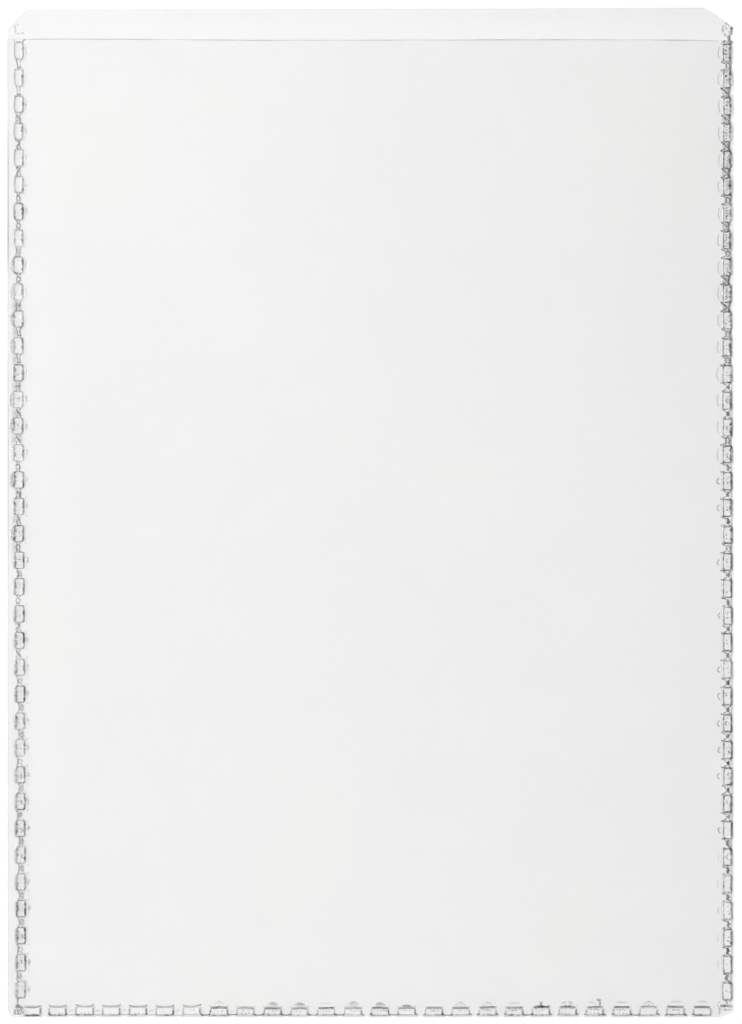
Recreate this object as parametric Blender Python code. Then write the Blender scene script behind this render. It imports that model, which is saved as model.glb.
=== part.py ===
# Clear badge sleeve: two PVC films welded together along both sides and the bottom, open at the top.
# The sleeve lies on its back film. +Z is up, +Y points to the open mouth, and the origin is under the
# middle of the back film.

import bmesh
import bpy
from mathutils import Vector

MM = 0.001

# The card that the pocket is made for, and the room that it has there
CARD_WIDTH = 105.0 * MM
CARD_HEIGHT = 148.0 * MM
CARD_SIDE_PLAY = 1.0 * MM
CARD_END_PLAY = 0.2 * MM

# Films: their thickness, the slot between them, and the back film's lip above the front film's edge
FILM_THICKNESS = 0.2 * MM
POCKET_GAP = 0.4 * MM
LIP_HEIGHT = 4.8 * MM

# Film that is left outside the weld marks
LEFT_HEM = 1.2 * MM
RIGHT_HEM = 0.2 * MM
BOTTOM_HEM = 0.2 * MM

# Weld marks: the rectangles that a toothed electrode presses through both films
MARK_LENGTH = 2.7 * MM
MARK_WIDTH = 1.6 * MM
MARK_PITCH = 4.125 * MM
SIDE_LEAD = 0.3 * MM  # front film's edge to the first mark of a side seam
BOTTOM_LEAD = 0.5 * MM  # how far the first bottom mark reaches back under the left seam
SEAM_GAP = 0.3 * MM  # least distance between two marks of different seams

# Bead that is squeezed out round each mark, and the neck of melt from one mark to the next
BEAD_WIDTH = 0.44 * MM
BEAD_HEIGHT = 0.1 * MM
FLOOR_DEPTH = 0.15 * MM  # pressed floor of a mark below the front film's outer face
FOOT_RECESS = 0.03 * MM  # underside of a mark above the back film's outer face
NECK_WIDTH = 0.4 * MM
NECK_BITE = 0.2 * MM  # how far a neck runs into the mark at each end

FIT_CLEARANCE = 0.05 * MM  # between a weld and the film round it

# Trimmed corners: width along X, height along Y, and fullness from 0, straight, to 1, round
TOP_LEFT_CUT_WIDTH = 3.1 * MM
TOP_LEFT_CUT_HEIGHT = 2.7 * MM
TOP_RIGHT_CUT_WIDTH = 4.6 * MM
TOP_RIGHT_CUT_HEIGHT = 3.4 * MM
BOTTOM_LEFT_CUT_WIDTH = 1.4 * MM
BOTTOM_LEFT_CUT_HEIGHT = 1.4 * MM
BOTTOM_RIGHT_CUT_WIDTH = 2.2 * MM
BOTTOM_RIGHT_CUT_HEIGHT = 0.9 * MM
TOP_CUT_FULLNESS = 0.27
BOTTOM_LEFT_FULLNESS = 0.9
BOTTOM_RIGHT_FULLNESS = 0.2
CUT_STEPS = 6

# Heights that follow from the stack of the two films
BACK_TOP = FILM_THICKNESS
FRONT_BOTTOM = BACK_TOP + POCKET_GAP
FRONT_TOP = FRONT_BOTTOM + FILM_THICKNESS
CUTTER_REACH = 1.0 * MM  # how far a window cutter passes the films above and below

# Plan of the sleeve, centred on the origin
POCKET_WIDTH = CARD_WIDTH + 2 * CARD_SIDE_PLAY
POCKET_DEPTH = CARD_HEIGHT + CARD_END_PLAY
SLEEVE_WIDTH = LEFT_HEM + MARK_WIDTH + POCKET_WIDTH + MARK_WIDTH + RIGHT_HEM
SLEEVE_HEIGHT = BOTTOM_HEM + MARK_WIDTH + POCKET_DEPTH + LIP_HEIGHT
LEFT = -SLEEVE_WIDTH / 2
RIGHT = SLEEVE_WIDTH / 2
BOTTOM = -SLEEVE_HEIGHT / 2
TOP = SLEEVE_HEIGHT / 2
MOUTH = TOP - LIP_HEIGHT
POCKET_LEFT = LEFT + LEFT_HEM + MARK_WIDTH
POCKET_RIGHT = RIGHT - RIGHT_HEM - MARK_WIDTH
POCKET_BOTTOM = BOTTOM + BOTTOM_HEM + MARK_WIDTH

FILM_COLOUR = (0.93, 0.94, 0.945, 1.0)
WELD_COLOUR = (0.72, 0.74, 0.75, 1.0)


def clear_scene():
    for old in list(bpy.data.objects):
        bpy.data.objects.remove(old, do_unlink=True)


def plastic(name, colour, roughness, transmission):
    material = bpy.data.materials.new(name)
    material.use_nodes = True
    shader = material.node_tree.nodes["Principled BSDF"]
    shader.inputs["Base Color"].default_value = colour
    shader.inputs["Roughness"].default_value = roughness
    shader.inputs["Metallic"].default_value = 0.0
    shader.inputs["Transmission Weight"].default_value = transmission
    shader.inputs["IOR"].default_value = 1.53
    return material


def corner_cut(corner, start, end, fullness):
    # A curve from start to end that leans towards the corner that it takes off
    corner, start, end = Vector(corner), Vector(start), Vector(end)
    middle = (start + end) / 2
    lean = middle + (corner - middle) * fullness
    points = []
    for step in range(CUT_STEPS + 1):
        t = step / CUT_STEPS
        points.append(start * (1 - t) ** 2 + lean * 2 * t * (1 - t) + end * t ** 2)
    return points


def bottom_corners():
    left = corner_cut(
        (LEFT, BOTTOM),
        (LEFT, BOTTOM + BOTTOM_LEFT_CUT_HEIGHT),
        (LEFT + BOTTOM_LEFT_CUT_WIDTH, BOTTOM),
        BOTTOM_LEFT_FULLNESS,
    )
    right = corner_cut(
        (RIGHT, BOTTOM),
        (RIGHT - BOTTOM_RIGHT_CUT_WIDTH, BOTTOM),
        (RIGHT, BOTTOM + BOTTOM_RIGHT_CUT_HEIGHT),
        BOTTOM_RIGHT_FULLNESS,
    )
    return left + right


def lip_corners():
    right = corner_cut(
        (RIGHT, TOP),
        (RIGHT, TOP - TOP_RIGHT_CUT_HEIGHT),
        (RIGHT - TOP_RIGHT_CUT_WIDTH, TOP),
        TOP_CUT_FULLNESS,
    )
    left = corner_cut(
        (LEFT, TOP),
        (LEFT + TOP_LEFT_CUT_WIDTH, TOP),
        (LEFT, TOP - TOP_LEFT_CUT_HEIGHT),
        TOP_CUT_FULLNESS,
    )
    return right + left


def rectangle(x_low, x_high, y_low, y_high):
    return [Vector(p) for p in ((x_low, y_low), (x_high, y_low), (x_high, y_high), (x_low, y_high))]


def cut_rise(width, height, inset):
    # Height of a straight corner cut at this distance in from the film's edge
    return height * max(0.0, 1 - inset / width)


def side_marks(x_low, x_high, corner_rise):
    # (x_low, x_high, y_low, y_high) of each mark of a side seam, from the mouth down to the corner
    marks = []
    y_high = MOUTH - SIDE_LEAD
    while y_high - MARK_LENGTH > POCKET_BOTTOM + SEAM_GAP:
        marks.append((x_low, x_high, y_high - MARK_LENGTH, y_high))
        y_high -= MARK_PITCH
    marks.append((x_low, x_high, BOTTOM + BOTTOM_HEM + corner_rise, POCKET_BOTTOM))
    return marks


def left_marks():
    rise = cut_rise(BOTTOM_LEFT_CUT_WIDTH, BOTTOM_LEFT_CUT_HEIGHT, LEFT_HEM)
    return side_marks(LEFT + LEFT_HEM, POCKET_LEFT, rise)


def right_marks():
    rise = cut_rise(BOTTOM_RIGHT_CUT_WIDTH, BOTTOM_RIGHT_CUT_HEIGHT, RIGHT_HEM)
    return side_marks(POCKET_RIGHT, RIGHT - RIGHT_HEM, rise)


def bottom_marks():
    # The first mark is cut short by the left seam's corner mark
    marks = []
    x_low = POCKET_LEFT - BOTTOM_LEAD
    while x_low + MARK_LENGTH < POCKET_RIGHT - SEAM_GAP:
        start = max(x_low, POCKET_LEFT + SEAM_GAP)
        marks.append((start, x_low + MARK_LENGTH, BOTTOM + BOTTOM_HEM, POCKET_BOTTOM))
        x_low += MARK_PITCH
    return marks


def neck(mark, following):
    # Strip of melt that runs from inside one mark to inside the next, along the seam
    x_low, x_high, y_low, y_high = mark
    if following[0] > x_high:
        middle = (y_low + y_high) / 2
        return rectangle(
            x_high - NECK_BITE, following[0] + NECK_BITE, middle - NECK_WIDTH / 2, middle + NECK_WIDTH / 2
        )
    middle = (x_low + x_high) / 2
    return rectangle(
        middle - NECK_WIDTH / 2, middle + NECK_WIDTH / 2, following[3] - NECK_BITE, y_low + NECK_BITE
    )


def add_prism(mesh, outline, z_low, z_high):
    # Closed prism over an outline that runs counter-clockwise. Returns its top face.
    floor = [mesh.verts.new((p.x, p.y, z_low)) for p in outline]
    roof = [mesh.verts.new((p.x, p.y, z_high)) for p in outline]
    mesh.faces.new(reversed(floor))
    for i in range(len(outline)):
        j = (i + 1) % len(outline)
        mesh.faces.new((floor[i], floor[j], roof[j], roof[i]))
    return mesh.faces.new(roof)


def new_object(name, mesh, parent, material=None):
    data = bpy.data.meshes.new(name)
    mesh.to_mesh(data)
    mesh.free()
    made = bpy.data.objects.new(name, data)
    bpy.context.scene.collection.objects.link(made)
    made.parent = parent
    if material is None:
        made.hide_render = True
        made.display_type = "WIRE"
    else:
        data.materials.append(material)
    return made


def add_boolean(target, other, operation):
    modifier = target.modifiers.new(other.name, "BOOLEAN")
    modifier.operation = operation
    modifier.object = other
    modifier.solver = "EXACT"


def window_cutter(marks, parent):
    mesh = bmesh.new()
    for x_low, x_high, y_low, y_high in marks:
        window = rectangle(
            x_low - FIT_CLEARANCE, x_high + FIT_CLEARANCE, y_low - FIT_CLEARANCE, y_high + FIT_CLEARANCE
        )
        add_prism(mesh, window, -CUTTER_REACH, FRONT_TOP + CUTTER_REACH)
    return new_object("window_cutter", mesh, parent)


def film(name, outline, z_low, cutter, parent, material):
    mesh = bmesh.new()
    add_prism(mesh, outline, 0.0, FILM_THICKNESS)
    made = new_object(name, mesh, parent, material)
    made.location.z = z_low
    add_boolean(made, cutter, "DIFFERENCE")
    return made


def add_mark(mesh, mark):
    # A plug through both films, with a bead raised round a pressed floor
    face = add_prism(mesh, rectangle(*mark), FOOT_RECESS, FRONT_TOP)
    rise, fall = BEAD_HEIGHT, -(BEAD_HEIGHT + FLOOR_DEPTH)
    for depth in (rise, fall):
        face.normal_update()
        bmesh.ops.inset_individual(
            mesh, faces=[face], thickness=BEAD_WIDTH / 2, depth=depth, use_even_offset=True
        )


def weld_seam(name, marks, parent, material):
    # The marks of one seam, joined into one chain by necks that lie between the films
    marks_mesh = bmesh.new()
    for mark in marks:
        add_mark(marks_mesh, mark)
    made = new_object(name, marks_mesh, parent, material)
    necks_mesh = bmesh.new()
    for mark, following in zip(marks, marks[1:]):
        add_prism(
            necks_mesh, neck(mark, following), BACK_TOP + FIT_CLEARANCE, FRONT_BOTTOM - FIT_CLEARANCE
        )
    add_boolean(made, new_object(name + "_necks", necks_mesh, parent), "UNION")
    return made


def build():
    clear_scene()
    sleeve = bpy.data.objects.new("badge_sleeve", None)
    bpy.context.scene.collection.objects.link(sleeve)
    clear_film = plastic("clear_film", FILM_COLOUR, 0.08, 0.9)
    weld_bead = plastic("weld_bead", WELD_COLOUR, 0.2, 0.6)

    seams = {
        "left_weld_seam": left_marks(),
        "right_weld_seam": right_marks(),
        "bottom_weld_seam": bottom_marks(),
    }
    every_mark = [mark for marks in seams.values() for mark in marks]
    cutter = window_cutter(every_mark, sleeve)
    back_outline = bottom_corners() + lip_corners()
    front_outline = bottom_corners() + [Vector((RIGHT, MOUTH)), Vector((LEFT, MOUTH))]
    film("back_film", back_outline, 0.0, cutter, sleeve, clear_film)
    film("front_film", front_outline, FRONT_BOTTOM, cutter, sleeve, clear_film)
    for name, marks in seams.items():
        weld_seam(name, marks, sleeve, weld_bead)


build()
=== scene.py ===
import math
import random

import bmesh
import bpy
import numpy as np
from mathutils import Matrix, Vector, geometry


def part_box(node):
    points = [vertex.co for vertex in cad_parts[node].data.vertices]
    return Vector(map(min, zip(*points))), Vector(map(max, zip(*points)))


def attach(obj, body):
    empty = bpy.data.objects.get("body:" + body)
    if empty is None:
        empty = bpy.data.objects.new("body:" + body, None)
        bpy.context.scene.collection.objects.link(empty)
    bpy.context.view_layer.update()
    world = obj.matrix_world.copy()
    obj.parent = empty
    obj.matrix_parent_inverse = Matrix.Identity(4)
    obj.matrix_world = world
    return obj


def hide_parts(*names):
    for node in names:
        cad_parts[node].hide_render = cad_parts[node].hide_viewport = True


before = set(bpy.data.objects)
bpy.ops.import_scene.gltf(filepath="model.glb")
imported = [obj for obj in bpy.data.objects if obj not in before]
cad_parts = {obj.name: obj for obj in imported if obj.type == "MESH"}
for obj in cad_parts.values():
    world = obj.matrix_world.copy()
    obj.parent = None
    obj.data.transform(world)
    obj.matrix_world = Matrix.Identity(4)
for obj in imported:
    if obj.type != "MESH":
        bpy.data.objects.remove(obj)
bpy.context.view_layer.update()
print("frame:", ", ".join(sorted(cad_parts)))

mm = 0.001  # shapes are worked out in millimetres and turned to metres when their mesh is made


def boxOf(node):
    low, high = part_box(node)
    return np.array(low) / mm, np.array(high) / mm


def linear(hexColour):
    # Linear RGBA of an sRGB colour
    parts = [int(hexColour[i:i + 2], 16) / 255 for i in (1, 3, 5)]
    return tuple(c / 12.92 if c <= 0.04045 else ((c + 0.055) / 1.055) ** 2.4 for c in parts) + (1.0,)


def addNode(tree, kind, values={}, links={}, **settings):
    node = tree.nodes.new("ShaderNode" + kind)
    for name, value in settings.items():
        setattr(node, name, value)
    for socket, value in values.items():
        node.inputs[socket].default_value = value
    for socket, source in links.items():
        tree.links.new(source, node.inputs[socket])
    return node


def newMaterial(name):
    material = bpy.data.materials.new(name)
    material.use_nodes = True
    material.node_tree.nodes.clear()
    return material, material.node_tree


mixFirst, mixSecond, mixResult = 6, 7, 2  # a Mix node's sockets for colours


def noiseOf(tree, patch):
    # Soft noise over an object, by mm across a patch and its finer detail
    size, detail = patch
    place = addNode(tree, "TexCoord").outputs["Object"]
    values = {"Scale": 1 / (size * mm), "Detail": detail}
    return addNode(tree, "TexNoise", values, {"Vector": place}).outputs[0]


def remapOf(tree, source, span):
    values = {"To Min": span[0], "To Max": span[1]}
    return addNode(tree, "MapRange", values, {"Value": source}).outputs[0]


def finishClear(tree, values, links, shadow):
    # Clear plastic, which shadow rays go straight through, a little dimmed
    clear = addNode(tree, "BsdfPrincipled", {"Transmission Weight": 1.0, **values}, links)
    passing = addNode(tree, "BsdfTransparent", {"Color": linear(shadow)})
    isShadow = addNode(tree, "LightPath").outputs["Is Shadow Ray"]
    both = addNode(tree, "MixShader", {}, {0: isShadow, 1: clear.outputs[0], 2: passing.outputs[0]})
    addNode(tree, "OutputMaterial", {}, {"Surface": both.outputs[0]})


def smoothStep(low, high, x):
    t = np.clip((x - low) / (high - low), 0, 1)
    return t * t * (3 - 2 * t)


backLow, backHigh = boxOf("back_film")
frontLow, frontHigh = boxOf("front_film")
filmThickness = backHigh[2] - backLow[2]
pocketLeft = boxOf("left_weld_seam")[1][0]
pocketRight = boxOf("right_weld_seam")[0][0]
pocketBottom = boxOf("bottom_weld_seam")[1][1]
mouth = frontHigh[1]

# Camera straight above, at the scale and place that the sleeve has in the 742 x 1024 picture
view = {
    "width": 742,
    "height": 1024,
    "filmLeft": 7.2,
    "filmRight": 733.2,
    "filmTop": 9.2,
    "filmBottom": 1016.5,
    "lens": 100.0,
    "sensor": 36.0,
    "clip": (0.01, 50.0),
}


def makeCamera():
    data = bpy.data.cameras.new("camera")
    data.lens = view["lens"]
    data.sensor_width = view["sensor"]
    camera = bpy.data.objects.new("camera", data)
    bpy.context.scene.collection.objects.link(camera)
    mmPerPixel = (backHigh[1] - backLow[1]) / (view["filmBottom"] - view["filmTop"])
    middle = (backLow + backHigh) / 2
    right = (view["width"] - view["filmLeft"] - view["filmRight"]) / 2 * mmPerPixel
    up = (view["filmTop"] + view["filmBottom"] - view["height"]) / 2 * mmPerPixel
    away = view["height"] * mmPerPixel * view["lens"] / view["sensor"]
    camera.location = ((middle[0] + right) * mm, (middle[1] + up) * mm, away * mm)
    data.clip_start, data.clip_end = view["clip"]
    bpy.context.scene.camera = camera


makeCamera()
bpy.context.scene.view_settings.view_transform = "Standard"
print("camera set")

# White table and soft light: a pale sky on the left that darkens to the right, a pale wall low down all
# round, and one large lamp
studio = {
    "floorColour": "#f4f4f4",
    "floorGlow": 0.13,
    "floorSize": 12.0,
    "floorGap": 0.02,
    "skyMiddle": 0.57,
    "skyLean": (-2.2, 0.0, 0.0),
    "skyDarkest": 0.3,
    "skyBrightest": 1.0,
    "wallLevel": 0.62,
    "wallRise": (0.28, 0.5),  # sine of the height at which the wall starts to fade and is gone
    "lampPlace": (-1.2, 0.35, 1.7),
    "lampSize": 0.9,
    "lampPower": 21.0,
}


def makeWorld():
    world = bpy.data.worlds.new("studio")
    bpy.context.scene.world = world
    world.use_nodes = True
    tree = world.node_tree
    tree.nodes.clear()
    place = addNode(tree, "TexCoord").outputs["Generated"]
    lean = addNode(tree, "VectorMath", {1: studio["skyLean"]}, {0: place}, operation="DOT_PRODUCT")
    tilt = lean.outputs["Value"]
    level = addNode(tree, "Math", {1: studio["skyMiddle"]}, {0: tilt}, operation="ADD")
    height = addNode(tree, "SeparateXYZ", {}, {0: place})
    low, high = studio["wallRise"]
    darkest = addNode(
        tree,
        "MapRange",
        {"From Min": low, "From Max": high, "To Min": studio["wallLevel"], "To Max": studio["skyDarkest"]},
        {"Value": height.outputs["Z"]},
        interpolation_type="SMOOTHSTEP",
    )
    limits = {"Value": level.outputs[0], "Min": darkest.outputs[0]}
    sky = addNode(tree, "Clamp", {"Max": studio["skyBrightest"]}, limits)
    light = addNode(tree, "Background", {"Strength": 1.0}, {"Color": sky.outputs[0]})
    addNode(tree, "OutputWorld", {}, {"Surface": light.outputs[0]})


def makeLamp():
    data = bpy.data.lights.new("softbox", "AREA")
    data.shape = "SQUARE"
    data.size = studio["lampSize"]
    data.energy = studio["lampPower"]
    lamp = bpy.data.objects.new("softbox", data)
    lamp.location = studio["lampPlace"]
    lamp.rotation_euler = (-Vector(studio["lampPlace"])).to_track_quat("-Z", "Y").to_euler()
    bpy.context.scene.collection.objects.link(lamp)


def whiteTable():
    # Matt white laminate: takes shadows, and glows a little where it is looked at so that it reads as white
    material, tree = newMaterial("whiteLaminateMatt")
    path = addNode(tree, "LightPath")
    seen = path.outputs["Is Camera Ray"]
    for kind in ("Is Glossy Ray", "Is Transmission Ray"):
        either = addNode(tree, "Math", {}, {0: seen, 1: path.outputs[kind]}, operation="MAXIMUM")
        seen = either.outputs[0]
    glow = addNode(tree, "Math", {1: studio["floorGlow"]}, {0: seen}, operation="MULTIPLY")
    matt = addNode(tree, "BsdfDiffuse", {"Color": linear(studio["floorColour"])})
    lit = addNode(tree, "Emission", {}, {"Strength": glow.outputs[0]})
    both = addNode(tree, "AddShader", {}, {0: matt.outputs[0], 1: lit.outputs[0]})
    addNode(tree, "OutputMaterial", {}, {"Surface": both.outputs[0]})
    return material


def makeFloor():
    half = studio["floorSize"] / 2
    data = bpy.data.meshes.new("table")
    z = -studio["floorGap"] * mm
    corners = [(-half, -half, z), (half, -half, z), (half, half, z), (-half, half, z)]
    data.from_pydata(corners, [], [(0, 1, 2, 3)])
    data.materials.append(whiteTable())
    floor = bpy.data.objects.new("table", data)
    bpy.context.scene.collection.objects.link(floor)


makeWorld()
makeLamp()
makeFloor()
print("studio set")

# Soft PVC film, calendered: clear and glossy, with a trace of haze, faint tints, very shallow ripples and
# painted shade
film = {
    "warmTint": "#fcfcfb",
    "coolTint": "#fbfbfc",
    # Grey of the painted shade on the cut edges and across the back film
    "cutEdge": "#7d8082",
    "tintPatch": (38.0, 1.0),  # mm across a patch of one tint, and its finer detail
    "smudge": (7.0, 3.0),
    "ripple": (16.0, 0.0),
    "rippleDepth": 0.002,
    "roughness": (0.03, 0.07),
    "crease": 35,
}


def pvcFilm(name, haze, ior, shadow):
    material, tree = newMaterial(name)
    patches, smudges, ripples = (noiseOf(tree, film[k]) for k in ("tintPatch", "smudge", "ripple"))
    warm, cool = (tuple(c * haze for c in linear(film[k])[:3]) + (1.0,) for k in ("warmTint", "coolTint"))
    tint = addNode(tree, "Mix", {mixFirst: warm, mixSecond: cool}, {0: patches}, data_type="RGBA")
    # Mixed towards that grey by the painted shade that the mesh carries
    smokeAndShade = addNode(tree, "Attribute", attribute_name="smokeAndShade")
    layers = {0: smokeAndShade.outputs["Fac"], mixFirst: tint.outputs[mixResult]}
    paintedShading = addNode(tree, "Mix", {mixSecond: linear(film["cutEdge"])}, layers, data_type="RGBA")
    depth = {"Strength": 1.0, "Distance": film["rippleDepth"] * mm}
    bump = addNode(tree, "Bump", depth, {"Height": ripples})
    links = {
        "Base Color": paintedShading.outputs[mixResult],
        "Roughness": remapOf(tree, smudges, film["roughness"]),
        "Normal": bump.outputs[0],
    }
    finishClear(tree, {"IOR": ior}, links, shadow)
    return material


# PVC fused by a high-frequency electrode: clear where it is pressed thin, and dark where melt piled up in a
# bead, partly as smoky melt and partly as painted shade for the dark outlines that a clear bead shows by
# refraction
weldFinish = {
    "clear": "#fbfbfb",
    "smokyAndShaded": "#101112",
    "shadow": "#f8f8f8",
    "grain": (0.6, 2.0),  # mm across a fleck of trapped air, and its finer detail
    "uneven": (0.45, 1.55),
    "roughness": 0.1,
    "ior": 1.5,
    "crease": 60,
}


def fusedPvc():
    material, tree = newMaterial("pvcFused")
    flecks = noiseOf(tree, weldFinish["grain"])
    smokeAndShade = addNode(tree, "Attribute", attribute_name="smokeAndShade")
    parts = {0: smokeAndShade.outputs["Fac"], 1: remapOf(tree, flecks, weldFinish["uneven"])}
    amount = addNode(tree, "Math", {}, parts, operation="MULTIPLY", use_clamp=True)
    # The dark end is smoky melt together with painted shade of the bead's outlines
    ends = {mixFirst: linear(weldFinish["clear"]), mixSecond: linear(weldFinish["smokyAndShaded"])}
    tint = addNode(tree, "Mix", ends, {0: amount.outputs[0]}, data_type="RGBA")
    values = {"IOR": weldFinish["ior"], "Roughness": weldFinish["roughness"]}
    finishClear(tree, values, {"Base Color": tint.outputs[mixResult]}, weldFinish["shadow"])
    return material


# How the films lie: the back one flat with a slightly raised lip, the front one pinched at the welds
backFilm = {
    "name": "backFilm",
    "node": "back_film",
    "haze": 0.892,
    "paintedShadeAbove": (0.057, 0.037, 0.044, 0.04, 0.054),  # painted shade for how the light falls across the film, left to right, above the height where it turns
    "paintedShadeBelow": (0.072, 0.052, 0.041, 0.035, 0.036),  # the same below it
    "paintedShadeTurn": (55.0, -11.0),
    "paintedShadeLip": (0.012, 0.037, 0.022, 0.045, 0.06),  # what the lip has on top of that
    "ior": 1.5,
    "shadow": "#f5f5f5",
    "edge": 0.014,
    "lipCurl": 0.15,
}
frontFilm = {
    "name": "frontFilm",
    "node": "front_film",
    "haze": 1.0,
    "ior": 1.42,
    "shadow": "#fbfbfb",
    "edge": 0.014,
    "gap": 0.4,
    "quickRise": 0.1,
    "quickReach": 1.5,
    "reach": 6.0,
    "gape": 0.1,
    "gapeDepth": 18.0,
    "wave": 0.03,
    "waveLength": 41.0,
    "wavePhase": 0.8,
}
# Heights in the pinched zone along the welds, where the two films lie on each other
pinch = {
    "gap": 0.02,
    "foot": 0.01,
    "floor": 0.3,
    "kerb": 0.02,
    "bead": 0.1,
    "flangeDrop": 0.015,
    "clearance": 0.02,
    "bite": 0.012,
}
pinchTop = 2 * filmThickness + pinch["gap"]


def seamDistance(x, y):
    return np.minimum(np.minimum(x - pocketLeft, pocketRight - x), y - pocketBottom)


def backHeight(plan):
    return backFilm["lipCurl"] * smoothStep(mouth, backHigh[1], plan[:, 1])


def frontHeight(plan):
    x, y = plan[:, 0], plan[:, 1]
    near = seamDistance(x, y)
    rise = smoothStep(0, frontFilm["reach"], near)
    share = np.clip((mouth - y) / frontFilm["gapeDepth"], 0, 1)
    gape = frontFilm["gape"] * (1 - smoothStep(0, 1, share))
    turns = 2 * math.pi * x / frontFilm["waveLength"] + frontFilm["wavePhase"]
    wave = frontFilm["wave"] * np.sin(turns) * (1 - share)
    quick = frontFilm["quickRise"] * smoothStep(0, frontFilm["quickReach"], near)
    slow = rise * (frontFilm["gap"] - pinch["gap"] - frontFilm["quickRise"] + gape + wave)
    return filmThickness + pinch["gap"] + quick + slow


def frontTop(plan):
    return frontHeight(plan) + filmThickness - pinch["bite"]


def lipTop(plan):
    # On the lip, or on the front film from the mouth down
    lip = backHeight(plan) + filmThickness - pinch["bite"]
    return np.where(plan[:, 1] > mouth, lip, frontTop(plan))


def markFloor(plan):
    return np.full(len(plan), pinch["floor"] - pinch["bite"])


# A thread that runs round in a ring and almost meets itself, in degrees
ovalTurn = {"from": 20, "to": 365, "points": 12}


def oval(middle, radii):
    turns = np.radians(np.linspace(ovalTurn["from"], ovalTurn["to"], ovalTurn["points"]))
    return tuple((middle[0] + radii[0] * math.cos(a), middle[1] + radii[1] * math.sin(a)) for a in turns)
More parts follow.
